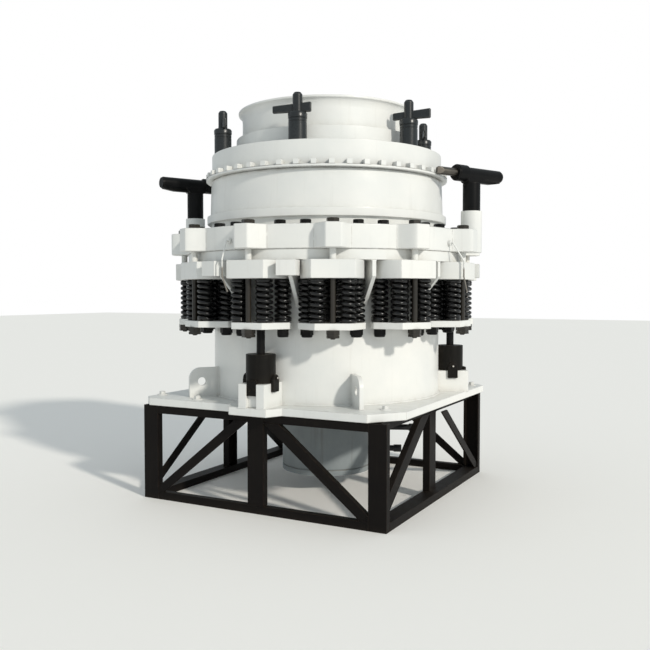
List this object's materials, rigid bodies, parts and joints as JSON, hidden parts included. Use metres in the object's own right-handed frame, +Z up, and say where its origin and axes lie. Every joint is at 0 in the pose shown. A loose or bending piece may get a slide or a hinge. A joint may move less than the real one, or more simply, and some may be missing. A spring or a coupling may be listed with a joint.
{
  "type": "spring cone crusher",
  "caption": "White spring cone crusher with a toothed bowl, coil-spring groups, hydraulic adjusters and clearing jacks, on a black channel-steel stand.",
  "frame": {"origin": "on the crusher's axis at floor level", "axes": "+Z up along the crusher's axis, -Y towards the front clearing jack"},
  "size_m": [2.4656, 2.34, 2.82],
  "materials": {
    "white_paint": "satin",
    "hub_paint": "satin",
    "black_paint": "satin",
    "stand_paint": "satin",
    "spring_enamel": "gloss",
    "bare_steel": "satin",
    "manganese_steel": "matte",
    "pipe_steel": "satin"
  },
  "bodies": {
    "frame": {"stand_corner_posts": "stand_paint", "stand_middle_posts": "stand_paint", "stand_top_rails": "stand_paint", "stand_bottom_rails": "stand_paint", "stand_braces": "stand_paint", "base_plate": "white_paint", "plate_bolts": "white_paint", "frame_shell": "white_paint", "frame_hub": "hub_paint", "frame_arms": "white_paint", "frame_flange": "white_paint", "frame_ribs": "white_paint", "frame_blocks": "white_paint", "upper_spring_segments": "white_paint", "bolt_sleeves": "white_paint", "lifting_lugs": "white_paint", "jack_saddles": "white_paint", "jack_cylinders": "black_paint", "jack_straps": "black_paint", "oil_pipes": "pipe_steel", "countershaft_box": "white_paint", "countershaft": "bare_steel", "mantle": "manganese_steel", "feed_plate": "manganese_steel", "front_springs": "spring_enamel", "side_springs": "spring_enamel", "rear_springs": "spring_enamel"},
    "ring": {"adjusting_ring": "white_paint", "spring_bolts": "black_paint", "ring_top_bolts": "black_paint", "lower_spring_plates": "white_paint", "lower_bolt_nuts": "black_paint", "spring_guides": "black_paint", "jack_rods": "black_paint", "adjuster_sleeves": "white_paint", "adjuster_posts": "black_paint", "adjuster_cylinders": "black_paint", "grease_pipes": "white_paint"},
    "liner": {"bowl_liner": "manganese_steel"},
    "bowl": {"bowl": "white_paint", "toothed_flange": "white_paint", "bowl_cap": "white_paint", "hopper_step": "white_paint", "hopper": "white_paint", "hook_bolt_sleeves": "black_paint", "hook_bolts": "black_paint", "hook_wedges": "black_paint"},
    "right_ram": {"right_ram": "bare_steel"},
    "left_ram": {"left_ram": "bare_steel"}
  },
  "joints": [
    {"name": "ring_lift", "type": "slide", "parent": "frame", "child": "ring", "axis": [0, 0, 1], "range_m": [0, 0.06], "stiffness_N_per_m": 2000000, "springref_m": -0.1, "deforming": ["front_springs", "side_springs", "rear_springs"]},
    {"name": "bowl_climb", "type": "slide", "parent": "ring", "child": "liner", "axis": [0, 0, 1], "range_m": [-0.0252, 0.0252]},
    {"name": "bowl_turn", "type": "hinge", "parent": "liner", "child": "bowl", "pos_m": [0, 0, 2], "axis": [0, 0, 1], "range_deg": [-180, 180]},
    {"name": "right_ram_stroke", "type": "slide", "parent": "ring", "child": "right_ram", "axis": [-0.4337, -0.9011, 0], "range_m": [-0.06, 0]},
    {"name": "left_ram_stroke", "type": "slide", "parent": "ring", "child": "left_ram", "axis": [0.4337, 0.9011, 0], "range_m": [-0.06, 0]}
  ],
  "couplings": [
    {"joint": "bowl_climb", "follows": "bowl_turn", "m_per_rad": 0.0079577}
  ]
}
